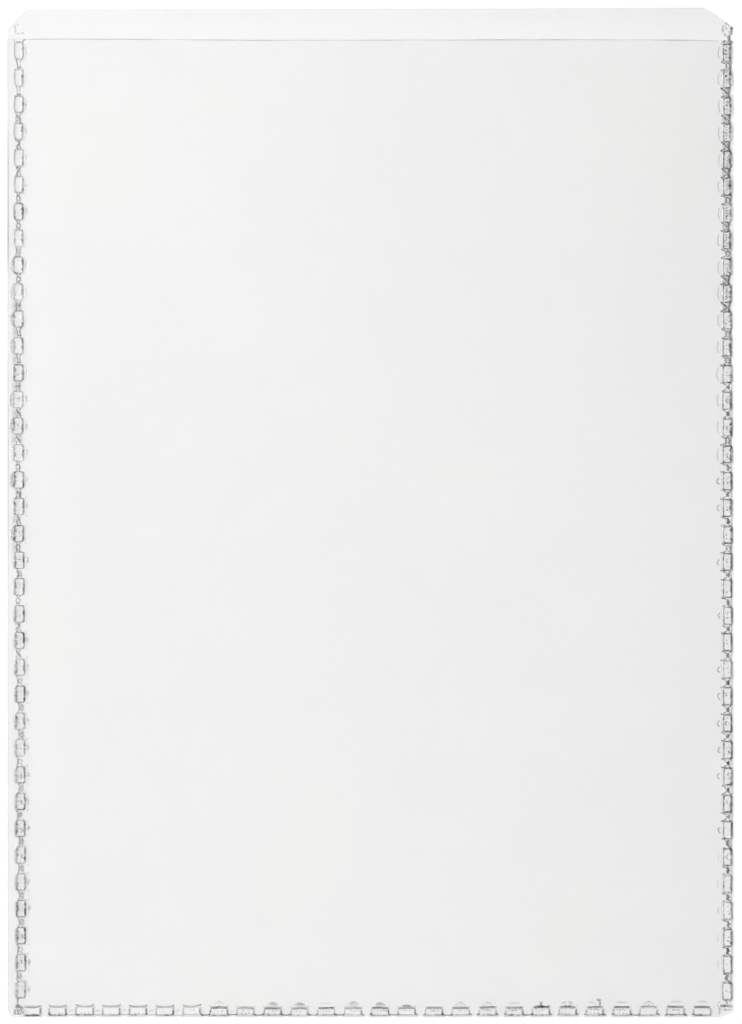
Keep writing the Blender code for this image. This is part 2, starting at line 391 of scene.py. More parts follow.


# Melt between two marks as strands of (width, smoke and painted shade, points). Width and points are in
# hundredths of a millimetre, along the weld and towards the pocket from the place halfway between the marks
# on the frame's line of the weld, and the smoke and painted shade is in percent
linkStrands = {
    "funnel": (
        (20, 50, (-75, -60), (-20, -42), (70, -30)),
        (20, 55, (-75, 20), (-20, 0), (65, 12)),
        (18, 45, (50, -35), (55, 15)),
    ),
    "tube": (
        (20, 46, (-75, -66), (-45, -56), (0, -54), (45, -56), (75, -66)),
        (22, 50, (-75, 20), (-45, 8), (0, 5), (45, 10), (75, 26)),
        (20, 38, (34, -50), (38, 2)),
        (60, 12, (-60, -24), (60, -22)),
    ),
    "cleft": (
        (28, 40, (-75, -66), (-30, -48), (20, -52), (75, -62)),
        (28, 40, (-75, 16), (-25, 2), (10, 12), (40, 0), (75, 12)),
        (32, 36, (-12, -28), (10, -16)),
        (66, 12, (-60, -26), (60, -26)),
    ),
    "dots": (
        (30, 42, (-36, -44), (-24, -38)),
        (30, 42, (24, 6), (36, 0)),
        (26, 36, (-8, 0), (4, -8)),
        (24, 32, (40, -40), (50, -48)),
    ),
    "eyelet": (
        (24, 46, *oval((5, -24), (37, 29))),
        (26, 42, (-78, -54), (-55, -40), (-32, -26)),
        (24, 38, (-74, 8), (-50, -10)),
        (26, 42, (42, -20), (60, -6), (78, 6)),
        (24, 38, (50, -40), (78, -56)),
    ),
    "ess": (
        (24, 50, (-70, -40), (-35, -8), (-10, -2), (10, -32), (40, -50), (70, -20)),
        (20, 42, (-70, 14), (-40, 8)),
        (20, 44, (30, 10), (70, 20)),
        (20, 40, (-70, -62), (-40, -54)),
        (66, 14, (-60, -20), (60, -20)),
    ),
    "zigzag": (
        (23, 48, (-70, -54), (-30, -44), (30, 5), (70, 14)),
        (22, 45, (-70, 16), (-30, 4)),
        (22, 43, (25, -50), (70, -56)),
        (66, 14, (-60, -20), (60, -20)),
    ),
    "shade": (
        (62, 9, (-72, -95), (72, -95)),
        (50, 10, (-30, -66), (40, -70)),
    ),
    "knot": (
        (28, 43, (-75, -40), (-35, -30), (35, -30), (75, -38)),
        (20, 36, *oval((0, 6), (30, 22))),
        (50, 13, (-60, 0), (60, 0)),
    ),
    "loop": (
        (28, 43, (-80, -42), (-30, -30), (30, -30), (80, -40)),
        (19, 35, *oval((5, 4), (40, 26))),
        (18, 35, (40, 18), (70, 32)),
    ),
    "stem": (
        (30, 37, (-80, -20), (-30, -8), (30, -6), (80, -18)),
        (18, 22, *oval((0, 32), (36, 22))),
        (66, 12, (-60, 32), (60, 36)),
        (22, 30, (36, 38), (50, 48)),
        (20, 26, (-50, 38), (-36, 44)),
    ),
    "waist": (
        (52, 70, (-80, -44), (-30, -26), (30, -24), (80, -44)),
        (30, 58, (-75, 98), (-60, 70), (-40, 46), (-30, 10)),
        (29, 56, (72, 94), (50, 56), (34, 10)),
        (60, 18, (-50, 50), (50, 50)),
        (30, 58, (-20, 34), (0, 5), (20, 20)),
        (28, 56, (-65, 20), (-78, -15)),
        (28, 56, (66, 20), (76, -10)),
    ),
    "ring": (
        (27, 59, *oval((0, -12), (44, 30))),
        (40, 57, (-85, -62), (-30, -54), (30, -54), (85, -62)),
        (22, 50, (-72, 84), (-52, 52), (-42, 20)),
        (22, 48, (72, 82), (50, 46), (42, 15)),
        (20, 40, (-10, 0), (10, -10)),
    ),
    "blob": (
        (52, 76, (-40, -34), (-6, -14), (34, -30)),
        (36, 66, (-14, 12), (6, -8)),
        (22, 46, (-72, 76), (-54, 46), (-24, 10)),
        (22, 46, (72, 76), (50, 42), (20, 6)),
        (24, 52, (-36, -34), (-74, -66)),
        (24, 52, (36, -34), (74, -66)),
        (30, 24, (-80, -74), (0, -70), (80, -74)),
    ),
    "burr": (
        (42, 72, (-50, 4), (-15, -20), (15, -8), (50, -30)),
        (36, 58, (-10, -40), (16, -30)),
        (22, 50, (-72, 78), (-50, 46), (-45, 10)),
        (20, 44, (72, 72), (45, 30)),
        (24, 54, (45, -35), (76, -60)),
        (30, 22, (-80, -70), (0, -68), (80, -70)),
    ),
    "curl": (
        (46, 74, (-55, -28), (-25, 0), (10, 6), (40, -16)),
        (28, 54, (32, -16), (58, -40), (80, -62)),
        (20, 44, (-74, 66), (-56, 36), (-36, 14)),
        (18, 36, (74, 66), (50, 34)),
        (46, 26, (-82, -64), (0, -58), (82, -64)),
    ),
    "foot": (
        (22, 54, (-75, -66), (-40, -70), (40, -70), (75, -66)),
        (30, 57, (-72, -45), (-60, -62), (-35, -68)),
        (24, 48, (70, -50), (60, -62), (45, -68)),
    ),
    "dash": (
        (15, 29, (-35, -5), (30, 12)),
        (16, 34, (-75, -70), (0, -72), (75, -70)),
    ),
    "bare": (
        (32, 59, (-74, -42), (-62, -60), (-30, -70)),
        (25, 50, (72, -46), (62, -62), (40, -70)),
    ),
}
# Marks of the electrode on and beside a mark, in the same way; floor strands lie in the pressed floor
markStrands = {
    "smudge": ((56, 19, (-50, 100), (0, 112), (40, 104)),),
    "echo": (
        (60, 20, (-110, -78), (-30, -92), (40, -88), (110, -78)),
        (28, 20, (-60, -104), (-45, -108)),
        (28, 20, (30, -106), (50, -100)),
    ),
    "ears": (
        (17, 34, (-140, 98), (-150, 112)),
        (17, 34, (136, 100), (148, 116)),
    ),
    "edge": ((24, 42, (-130, -74), (0, -74), (130, -74)),),
    "brim": ((28, 19, (-115, -82), (-50, -92), (50, -92), (115, -82)),),
    "hooks": (
        (19, 54, (-125, 80), (-140, 106), (-155, 100)),
        (19, 54, (128, 80), (146, 108)),
    ),
    "crescent": ((25, 38, (-50, 126), (-14, 162), (16, 162), (52, 128)),),
    "rim": ((26, 17, (-95, 130), (-40, 150), (40, 150), (95, 130)),),
    "trace": ((24, 11, (-60, 150), (0, 160), (60, 150)),),
    "cap": (
        (22, 11, (-85, 125), (-50, 172), (0, 194), (50, 172), (85, 125)),
        (56, 6, (-60, 144), (60, 144)),
        (40, 8, (-35, 174), (35, 176)),
    ),
    "peak": (
        (20, 17, (-85, 125), (-45, 156), (0, 190), (45, 156), (85, 125)),
        (26, 24, (-10, 182), (10, 186)),
        (18, 13, (0, 110), (2, 170)),
    ),
    "lid": ((26, 12, (-80, 172), (0, 176), (80, 172)),),
    "burst": (
        (30, 34, (-70, 102), (0, 114), (70, 102)),
        (22, 36, (-50, 110), (-40, 124)),
        (26, 40, (-5, 116), (0, 134)),
        (22, 36, (36, 112), (50, 122)),
    ),
    "spike": (
        (26, 50, (-2, 95), (2, 140), (0, 180)),
        (22, 38, (-24, 192), (0, 174), (28, 190)),
        (36, 50, (-60, 94), (-25, 106), (10, 100), (50, 96)),
        (22, 24, (-72, 120), (-60, 142)),
        (22, 30, (120, 100), (136, 122)),
    ),
    "spray": (
        (24, 34, (-100, 142), (-70, 166), (-30, 184)),
        (28, 52, (30, 146), (44, 172), (60, 194)),
        (26, 44, (-2, 180), (20, 190)),
        (40, 50, (-50, 94), (-20, 112)),
        (34, 46, (10, 102), (40, 112)),
        (20, 24, (80, 125), (86, 160)),
    ),
    "splash": (
        (30, 50, (78, 95), (74, 140), (72, 195)),
        (38, 56, (72, 196), (50, 220), (16, 230)),
        (30, 46, (72, 198), (86, 236)),
        (24, 30, (-100, 166), (-60, 186), (-28, 170)),
        (26, 27, (-20, 136), (10, 150)),
    ),
    "sag": (
        (24, 45, (-140, 105), (-115, 82), (0, 72), (110, 82), (140, 108)),
        (15, 34, (132, 95), (142, 125)),
    ),
    "bar": ((30, 62, (-125, 82), (0, 88), (125, 82)), (14, 27, (136, 100), (144, 125))),
    "arch": (
        (34, 50, (-130, 70), (-60, 76), (0, 80), (60, 76), (130, 70)),
        (16, 32, (136, 90), (144, 120)),
        (16, 27, (-136, 90), (-142, 115)),
    ),
}
floorStrands = {
    "speck": ((22, 57, (-12, 10), (10, 14)),),
    "pair": ((22, 53, (-30, 10), (-15, 12)), (24, 59, (20, 12), (42, 5))),
    "comma": ((18, 50, (-30, -5), (-10, 18), (15, 15), (30, -5)),),
    "wedge": ((30, 67, (10, -12), (38, -36)), (22, 48, (-40, -30), (-20, -36))),
    "tick": ((22, 32, (5, -16), (0, 16)),),
    "thread": ((16, 20, (-50, 10), (10, 16), (60, 8)),),
    "beads": tuple(
        (34, 60, (s, 12 + 6 * (-1) ** i), (s + 14, 14))
        for i, s in enumerate((-95, -52, -12, 36, 80))
    ),
    "pips": (
        (42, 70, (-50, 10), (-22, 16)),
        (40, 66, (12, 12), (36, 6)),
        (28, 44, (62, 10), (74, 2)),
        (26, 36, (-95, 4), (-80, 10)),
    ),
    "grit": tuple(
        (26, 45, (s, -52 + 22 * (i % 2)), (s + 14, -42 + 22 * (i % 2)))
        for i, s in enumerate((-105, -75, -45, -15, 15, 45, 75, 105))
    ),
    "ribs": tuple((20, 30, (s, -30), (s + 30, 0), (s + 50, 32)) for s in (-95, -45, 0, 40)),
    "clump": (
        (30, 42, (-60, 30), (-40, 40)),
        (32, 52, (-20, 35), (0, 20)),
        (30, 50, (15, 40), (40, 25)),
        (26, 38, (50, 15), (65, 30)),
    ),
    "froth": (
        (26, 32, (-70, -42), (-50, -38)),
        (28, 37, (-15, -36), (5, -42)),
        (24, 32, (35, -42), (60, -36)),
    ),
    "crumbs": (
        (28, 21, (-75, 20), (-50, 26)),
        (30, 32, (-30, 14), (-5, 20)),
        (28, 27, (20, 24), (40, 18)),
        (26, 21, (60, 12), (75, 20)),
    ),
    "scratch": ((14, 27, (-80, -30), (-50, 10)), (14, 27, (10, -35), (30, 0))),
}

# The three welds. "lines" are (share of the length, outer line, inner line, half width of each) and "slip"
# (share, shift along), in mm from where the frame has the marks, and "floor" is (share, smoke and painted
# shade at the outer and the inner side); "links", "beside" and "within" are (from, to, chance, names) by
# share of the length. "roundness" is the power of a mark's superellipse, "crown" that of its bulge, "flare"
# how much longer its outer side is, "taper" how much the bead of a side thins towards the tips, "tips" the
# bead's half width at the start and the end, and "soft" its share of the smoke and painted shade at the feet
# and on the flanks
leftWeld = {
    "name": "leftWeld",
    "node": "left_weld_seam",
    "along": (0, -1),
    "inward": (1, 0),
    "length": 2.76,
    "roundness": 7.0,
    "crown": 2,
    "flare": 0.0,
    "taper": 0.5,
    "soft": (0.14, 0.68),
    "tips": (0.13, 0.13),
    # The pocket side, on the right, is painted darker, as shade on the side away from the light on the left
    "smokeAndShade": {"inner": 1.0, "outer": 0.84, "start": 0.86, "end": 0.86},
    "fade": ((0.0, 0.88), (0.3, 0.9), (0.6, 1.0), (1.0, 1.0)),
    "lines": (
        (0.0, -0.7, 0.38, 0.12, 0.27),
        (0.12, -0.72, 0.37, 0.14, 0.28),
        (0.24, -0.78, 0.36, 0.28, 0.28),
        (0.36, -0.8, 0.36, 0.44, 0.29),
        (0.5, -0.64, 0.47, 0.4, 0.28),
        (0.61, -0.47, 0.6, 0.37, 0.28),
        (0.85, -0.3, 0.74, 0.36, 0.28),
        (1.0, -0.27, 0.77, 0.35, 0.28),
    ),
    "floor": ((0.0, 0.13, 0.05), (0.3, 0.22, 0.07), (0.6, 0.28, 0.1), (1.0, 0.3, 0.11)),
    "slip": ((0.0, 0.0), (1.0, -0.3)),
    "bulge": {"inner": 0.08, "outer": 0.08},
    "lobe": (0.05, 0.15),
    "corner": {"strength": 0.4, "across": (-54.7, -53.52), "along": (-77.0, -75.7), "smokeAndShade": {}},
    "links": (
        (0.0, 0.04, 1.0, ("funnel",)),
        (0.04, 0.33, 1.0, ("cleft", "eyelet", "ess", "cleft", "funnel", "tube")),
        (0.33, 0.6, 1.0, ("zigzag", "eyelet", "ess", "cleft", "zigzag", "loop")),
        (0.04, 0.6, 0.6, ("dots",)),
        (0.22, 0.5, 0.85, ("shade",)),
        (0.6, 1.0, 1.0, ("stem", "stem", "loop", "stem", "knot", "stem")),
    ),
    "beside": (
        (0.0, 1.0, 0.75, ("smudge",)),
        (0.2, 0.5, 0.85, ("echo",)),
        (0.45, 1.0, 0.7, ("ears",)),
    ),
    "within": (
        (0.25, 1.0, 0.4, ("thread",)),
        (0.3, 0.8, 0.6, ("tick",)),
        (0.7, 1.0, 0.4, ("comma",)),
    ),
    "seed": 11,
}
rightWeld = {
    "name": "rightWeld",
    "node": "right_weld_seam",
    "along": (0, -1),
    "inward": (-1, 0),
    "length": 2.88,
    "roundness": 9.0,
    "crown": 4,
    "flare": 0.0,
    "taper": 0.2,
    "soft": (0.2, 0.85),
    "tips": (0.14, 0.14),
    # The outer side, on the right, is painted darker, as shade on the side away from the light on the left
    "smokeAndShade": {"inner": 0.8, "outer": 1.0, "start": 1.0, "end": 1.0},
    "fade": ((0.0, 1.0), (0.3, 0.95), (1.0, 0.9)),
    "lines": (
        (0.0, -0.44, 0.52, 0.27, 0.18),
        (0.2, -0.46, 0.54, 0.28, 0.18),
        (0.33, -0.56, 0.64, 0.28, 0.16),
        (0.5, -0.64, 0.55, 0.21, 0.14),
        (0.62, -0.66, 0.5, 0.19, 0.15),
        (0.92, -0.66, 0.5, 0.19, 0.15),
        (0.945, -0.66, 0.7, 0.19, 0.16),
        (1.0, -0.66, 0.7, 0.19, 0.16),
    ),
    "floor": ((0.0, 0.38, 0.22), (0.25, 0.24, 0.13), (0.5, 0.15, 0.1), (1.0, 0.09, 0.05)),
    "slip": ((0.0, 0.3), (0.12, 0.28), (0.35, 0.12), (1.0, 0.05)),
    "bulge": {"inner": 0.02, "outer": 0.0},
    "lobe": (0.03, 0.12),
    "corner": {"strength": 0.4, "across": (53.95, 55.65), "along": (-76.4, -75.6), "smokeAndShade": {}},
    "links": (
        (0.0, 0.25, 1.0, ("waist", "waist", "ring")),
        (0.25, 0.5, 1.0, ("ring", "burr", "ring", "blob")),
        (0.5, 0.78, 1.0, ("blob", "blob", "burr", "blob")),
        (0.78, 1.0, 1.0, ("curl", "curl", "burr")),
    ),
    "beside": (
        (0.0, 0.2, 1.0, ("brim",)),
        (0.2, 1.0, 1.0, ("edge",)),
        (0.42, 0.8, 0.85, ("crescent",)),
        (0.0, 0.42, 1.0, ("rim",)),
        (0.8, 1.0, 0.6, ("trace",)),
        (0.0, 0.8, 0.85, ("hooks",)),
    ),
    "within": (
        (0.0, 0.07, 1.0, ("pips",)),
        (0.07, 0.25, 1.0, ("beads", "pips", "froth")),
        (0.1, 0.25, 0.8, ("ribs", "grit", "ribs")),
        (0.25, 0.6, 1.0, ("pair", "comma", "pair")),
        (0.6, 1.0, 0.9, ("speck", "comma", "wedge", "wedge")),
        (0.3, 1.0, 0.4, ("scratch",)),
    ),
    "seed": 23,
}
bottomWeld = {
    "name": "bottomWeld",
    "node": "bottom_weld_seam",
    "along": (1, 0),
    "inward": (0, 1),
    "length": 2.96,
    "roundness": 9.0,
    "crown": 2,
    "flare": 0.02,
    "taper": 0.2,
    "soft": (0.16, 0.76),
    "tips": (0.15, 0.2),
    "smokeAndShade": {"inner": 0.3, "outer": 0.85, "start": 0.76, "end": 1.0},
    "fade": ((0.0, 1.1), (0.2, 1.0), (0.35, 0.88), (1.0, 0.96)),
    "lines": (
        (0.0, -0.7, 0.52, 0.14, 0.12),
        (0.2, -0.7, 0.52, 0.14, 0.12),
        (0.35, -0.7, 0.26, 0.14, 0.12),
        (0.65, -0.7, 0.3, 0.14, 0.12),
        (1.0, -0.7, 0.44, 0.14, 0.12),
    ),
    "floor": ((0.0, 0.05, 0.04), (0.3, 0.05, 0.07), (0.6, 0.06, 0.1), (1.0, 0.06, 0.1)),
    "slip": ((0.0, 0.03), (1.0, 0.03)),
    "bulge": {"inner": 0.02, "outer": 0.0},
    "lobe": (0.03, 0.12),
    "corner": {
        "strength": 1.0,
        "across": (-77.25, -75.75),
        "along": (-53.2, -50.45),
        "smokeAndShade": {"start": 0.1},
    },
    "links": (
        (0.0, 0.2, 1.0, ("dash",)),
        (0.2, 0.45, 1.0, ("foot",)),
        (0.45, 1.0, 1.0, ("bare", "bare", "foot")),
    ),
    "beside": (
        (0.0, 0.25, 1.0, ("sag",)),
        (0.25, 0.6, 1.0, ("arch", "arch", "bar")),
        (0.6, 1.0, 1.0, ("bar",)),
        (0.26, 0.28, 1.0, ("peak",)),
        (0.34, 0.4, 1.0, ("cap",)),
        (0.45, 0.51, 1.0, ("cap", "peak")),
        (0.53, 0.55, 1.0, ("burst",)),
        (0.6, 0.67, 1.0, ("peak", "cap")),
        (0.72, 0.75, 1.0, ("spike",)),
        (0.76, 0.79, 1.0, ("spray",)),
        (0.8, 0.82, 1.0, ("splash",)),
        (0.87, 0.9, 1.0, ("peak",)),
        (0.42, 0.43, 1.0, ("lid",)),
        (0.68, 0.71, 1.0, ("lid",)),
        (0.83, 0.86, 1.0, ("lid",)),
        (0.9, 1.0, 1.0, ("lid",)),
    ),
    "within": (
        (0.0, 1.0, 0.7, ("froth",)),
        (0.22, 0.6, 0.85, ("pair", "crumbs", "crumbs")),
        (0.6, 0.93, 0.9, ("clump", "clump", "crumbs")),
    ),
    "seed": 37,
}
# What all marks share, in mm, and how much they vary
markShape = {
    "points": 64,
    "finePoints": 4001,
    "halfWidth": 0.8,
    "cadLength": 2.7,
    "pitch": 4.125,
    "least": 0.3,
    "stray": 0.04,
    "pressed": 0.14,
    "rim": 0.03,
    "innerRim": 0.02,
    "wobble": ((2, 0.08), (5, 0.07), (9, 0.07), (13, 0.06)),  # waves round the bead, and how deep
    "wobbleTurn": 6.3,
    "sidePower": 4,  # how sharply the bead of a side turns into that of a tip
    "beadSpread": (0.88, 1.12),
    "beadMost": 0.46,  # of the mark's smaller half size
    "smokeAndShadeSpread": (0.85, 1.15),
    "crestSpread": (0.8, 1.2),
    "floorInset": 0.05,
    "floorRings": (1.0, 0.7, 0.35),
}


def unitShape(weld):
    # Unit superellipse with its points spread evenly along a full mark's outline
    fine = np.linspace(0, 2 * math.pi, markShape["finePoints"])
    power = 2 / weld["roundness"]
    s = np.sign(np.cos(fine)) * np.abs(np.cos(fine)) ** power
    t = np.sign(np.sin(fine)) * np.abs(np.sin(fine)) ** power
    steps = np.hypot(np.diff(s) * weld["length"] / 2, np.diff(t) * markShape["halfWidth"])
    run = np.concatenate([[0], np.cumsum(steps)])
    wanted = np.linspace(0, run[-1], markShape["points"], endpoint=False)
    return np.interp(wanted, run, s), np.interp(wanted, run, t)


def spansOf(weld, high):
    # (lowest, highest) of each mark along the weld, in the weld's order, with the corner mark at its end
    corner = weld["corner"]["along"]
    half, reach = markShape["cadLength"] / 2, weld["length"] / 2
    if weld["along"][0] == 0:
        middles = np.arange(high[1] - half, pocketBottom + half, -markShape["pitch"])
        return [(y - reach, y + reach) for y in middles] + [corner]
    middles = np.arange(high[0] - half, corner[1] + half + markShape["least"], -markShape["pitch"])
    return [corner] + [(x - reach, x + reach) for x in middles[::-1]]


def byShare(table, share):
    # The row of a weld's table at this share of its length, without the share
    rows = np.array(table).T
    return [float(np.interp(share, rows[0], row)) for row in rows[1:]]


def marksOf(weld):
    # Each mark with its middle, its point on the frame's line, its half sizes, bead widths, and its smoke and
    # painted shade
    low, high = boxOf(weld["node"])
    rng = random.Random(weld["seed"])
    spans = spansOf(weld, high)
    along, inward = np.array(weld["along"]), np.array(weld["inward"])
    axis = 0 if weld["along"][0] == 0 else 1
    start, end = weld["tips"]
    marks = []
    for index, span in enumerate(spans):
        share = index / len(spans)
        full = span != weld["corner"]["along"]
        spine = np.full(2, sum(span) / 2)
        spine[axis] = (low[axis] + high[axis]) / 2
        outer, inner, outerHalf, innerHalf = byShare(weld["lines"], share)
        if full:
            reach = outer - outerHalf, inner + innerHalf
            stray = [rng.uniform(-1, 1) * markShape["stray"] for i in range(2)]
            spine = spine + along * (byShare(weld["slip"], share)[0] + stray[0])
            middle = spine + inward * (sum(reach) / 2 + stray[1])
        else:
            reach = weld["corner"]["across"]
            middle = spine.copy()
            middle[axis] = sum(reach) / 2
        marks.append(
            {
                "middle": middle,
                "spine": spine,
                "half": ((span[1] - span[0]) / 2, (reach[1] - reach[0]) / 2),
                "bead": {"inner": innerHalf, "outer": outerHalf, "start": start, "end": end},
                "smokeAndShade": weld["smokeAndShade"] if full else {**weld["smokeAndShade"], **weld["corner"]["smokeAndShade"]},
                "floor": byShare(weld["floor"], share),
                "lobe": rng.uniform(*weld["lobe"]) if full else 0.0,
                "full": full,
                "share": share,
                "strength": byShare(weld["fade"], share)[0] * (1.0 if full else weld["corner"]["strength"]),
            }
        )
    return marks


def placeOf(weld, middle, s, t):
    return middle + np.outer(s, np.array(weld["along"])) + np.outer(t, np.array(weld["inward"]))


def ringOf(weld, mark, inset):
    # The mark's outline drawn in by inset, which may change from point to point
    unitS, unitT = weld["shape"]
    crown = np.clip(1 - np.abs(unitS) ** weld["crown"], 0, 1)
    bulge = np.where(unitT > 0, weld["bulge"]["inner"], weld["bulge"]["outer"])
    t = (mark["half"][1] - inset + bulge * crown) * unitT
    s = (mark["half"][0] - inset) * unitS * (1 - weld["flare"] * unitT)
    return placeOf(weld, mark["middle"], s, t)


def flangeOf(weld, mark):
    # How far the fused film reaches past the bead: a lens towards the pocket, a thin rim elsewhere
    unitS, unitT = weld["shape"]
    crown = np.clip(1 - unitS**2, 0, 1)
    lens = mark["lobe"] * crown * np.clip(unitT, 0, 1) ** 2
    return markShape["rim"] + markShape["innerRim"] * (unitT > 0) + lens


def windowsOf(weld, marks):
    return [ringOf(weld, m, -flangeOf(weld, m) - pinch["clearance"]) for m in marks]


def newPool():
    return {"points": [], "faces": [], "smokeAndShade": []}


def addSkin(pool, loops, smokeAndShadeLevels):
    # Closed skin over loops of equally many points, capped at both ends
    start, count = len(pool["points"]), len(loops[0])
    for loop, smokeAndShade in zip(loops, smokeAndShadeLevels):
        pool["points"] += [tuple(p) for p in loop]
        pool["smokeAndShade"] += [float(v) for v in smokeAndShade]
    for row in range(len(loops) - 1):
        for i in range(count):
            j = (i + 1) % count
            a, b = start + row * count, start + (row + 1) * count
            pool["faces"].append((a + i, a + j, b + j, b + i))
    pool["faces"].append(tuple(start + i for i in reversed(range(count))))
    pool["faces"].append(tuple(start + (len(loops) - 1) * count + i for i in range(count)))


def addMark(pool, weld, mark, rng):
    # Fused flange, rounded bead and pressed floor
    unitS, unitT = weld["shape"]
    across = np.abs(unitT) ** markShape["sidePower"]
    crown = np.clip(1 - unitS**2, 0, 1)

    def blend(values):
        side = np.where(unitT > 0, values["inner"], values["outer"])
        tip = np.where(unitS < 0, values["start"], values["end"])
        return tip + (side - tip) * across * (1 - weld["taper"] + weld["taper"] * crown)

    turn = np.linspace(0, 2 * math.pi, len(unitS), endpoint=False)
    wobble = 1.0
    for waves, depth in markShape["wobble"]:
        wobble = wobble + depth * np.sin(waves * turn + rng.uniform(0, markShape["wobbleTurn"]))
    bead = blend(mark["bead"]) * wobble * rng.uniform(*markShape["beadSpread"])
    bead *= min(1.0, markShape["beadMost"] * min(mark["half"]) / bead.max())
    smokeAndShade = blend(mark["smokeAndShade"]) * wobble * rng.uniform(*markShape["smokeAndShadeSpread"])
    smokeAndShade = np.clip(smokeAndShade * mark["strength"], 0, 1)
    flange = flangeOf(weld, mark)
    top = pinchTop - pinch["flangeDrop"]
    crest = pinch["bead"] * rng.uniform(*markShape["crestSpread"])
    # Inset, height and share of the smoke and painted shade, from the foot over the bead to the floor
    profile = (
        (-flange, pinch["foot"], 0.0),
        (-flange, top, 0.06),
        (-flange * 0.6, top, 0.0),
        (0 * bead, top, weld["soft"][0]),
        (0.4 * bead, top + 0.6 * crest, weld["soft"][1]),
        (bead, top + crest, 1.0),
        (1.6 * bead, top + 0.5 * crest, weld["soft"][1]),
        (2 * bead, pinch["floor"] + pinch["kerb"], weld["soft"][0]),
    )
    loops, smokeAndShadeLevels = [], []
    for inset, z, weight in profile:
        ring = ringOf(weld, mark, inset)
        loops.append(np.column_stack([ring, np.full(len(ring), z)]))
        smokeAndShadeLevels.append(smokeAndShade * weight)
    rim = ringOf(weld, mark, 2 * bead + markShape["floorInset"])
    shade = mark["floor"][0] + (mark["floor"][1] - mark["floor"][0]) * (unitT + 1) / 2
    for size in markShape["floorRings"]:
        ring = rim.mean(axis=0) + (rim - rim.mean(axis=0)) * size
        loops.append(np.column_stack([ring, np.full(len(ring), pinch["floor"])]))
        smokeAndShadeLevels.append(shade.mean() + (shade - shade.mean()) * size)
    base = markShape["pressed"]
    addSkin(pool, loops, [base + (1 - base) * s for s in smokeAndShadeLevels])


# Strands of melt, in mm
ridge = {
    "step": 0.16,
    "straightParts": 4,  # at least, along a straight strand
    "curveParts": 2,  # the same between two points of a bent one
    "height": 0.26,  # of its width
    "tip": 0.6,  # the same, for the stretch where it tapers
    "least": 0.01,
    "faint": (3, 3),  # gain and power: a strand with less than a third of full smoke and painted shade is flatter
    "section": (  # place across, height and share of the smoke and painted shade
        (-1, 0, 0.15), (-0.66, 0.62, 0.82), (0, 1, 1), (0.66, 0.62, 0.82), (1, 0, 0.15), (0, -0.1, 1),
    ),
}


def smoothPath(points):
    # Cubic curve through the points, with stretches of about one step
    p = np.array(points, float)
    if len(p) == 2:
        count = max(ridge["straightParts"], math.ceil(np.linalg.norm(p[1] - p[0]) / ridge["step"]))
        return p[0] + (p[1] - p[0]) * np.linspace(0, 1, count + 1)[:, None]
    p = np.concatenate([[2 * p[0] - p[1]], p, [2 * p[-1] - p[-2]]])
    found = []
    for a, b, c, d in zip(p, p[1:], p[2:], p[3:]):
        count = max(ridge["curveParts"], math.ceil(np.linalg.norm(c - b) / ridge["step"]))
        t = np.linspace(0, 1, count, endpoint=False)[:, None]
        bend, twist = 2 * a - 5 * b + 4 * c - d, 3 * b - a - 3 * c + d
        found.append(0.5 * (2 * b + (c - a) * t + bend * t**2 + twist * t**3))
    return np.concatenate(found + [p[-2:-1]])


def addRidge(pool, plan, base, width, smokeAndShade):
    # Rounded strand of melt along a plan path, drawn to a round point at both ends
    steps = np.linalg.norm(np.diff(plan, axis=0), axis=1)
    run = np.concatenate([[0], np.cumsum(steps)])
    fromEnd = np.minimum(run, run[-1] - run) + ridge["least"]
    tip = min(run[-1] / 2 + ridge["least"], width * ridge["tip"])
    taper = np.sqrt(1 - (1 - np.clip(fromEnd / tip, 0, 1)) ** 2)
    heading = np.gradient(plan, axis=0)
    heading /= np.linalg.norm(heading, axis=1)[:, None]
    aside = np.column_stack([-heading[:, 1], heading[:, 0]])
    gain, power = ridge["faint"]
    full = min(1.0, (gain * smokeAndShade) ** power)
    loops, smokeAndShadeLevels = [], []
    for (x, y), n, z, size in zip(plan, aside, base(plan), taper):
        half = width / 2 * size
        up = width * ridge["height"] * full * size
        loops.append([(x + n[0] * half * a, y + n[1] * half * a, z + up * u) for a, u, w in ridge["section"]])
        smokeAndShadeLevels.append([smokeAndShade * w for a, u, w in ridge["section"]])
    addSkin(pool, loops, smokeAndShadeLevels)


# How strands are laid, in mm: each leans and strays a little
laying = {
    "parts": 100,  # of a millimetre, and of full smoke and painted shade, in the tables of strands
    "lean": 0.05,
    "strays": (0.04, 0.03),
    "smokeAndShadeSpread": (0.8, 1.2),
    "widthSpread": (0.95, 1.25),
    "shifts": (0.3, 0.1),
    "unshifted": ("beads", "grit"),
    "cornerLoose": 0.4,
}


def addStrands(pool, weld, middle, strands, base, rng, shift=(0, 0), girth=1.0, loose=1.0):
    parts, (strayS, strayT) = laying["parts"], laying["strays"]
    for width, smokeAndShade, *path in strands:
        lean = rng.uniform(-laying["lean"], laying["lean"]) * loose
        points = []
        for s, t in path:
            s = s / parts + shift[0] + rng.gauss(0, strayS) * loose
            points.append((s, t / parts * girth + shift[1] + lean + rng.gauss(0, strayT) * loose))
        line = smoothPath(points)
        plan = placeOf(weld, middle, line[:, 0], line[:, 1])
        amount = min(1.0, smokeAndShade / parts * rng.uniform(*laying["smokeAndShadeSpread"]))
        addRidge(pool, plan, base, width / parts * rng.uniform(*laying["widthSpread"]), amount)


def chosen(table, share, rng):
    # Names drawn from the rows of a weld's table that reach this share of its length
    rows = (row for row in table if row[0] <= share < row[1])
    return [rng.choice(names) for low, high, chance, names in rows if rng.random() < chance]


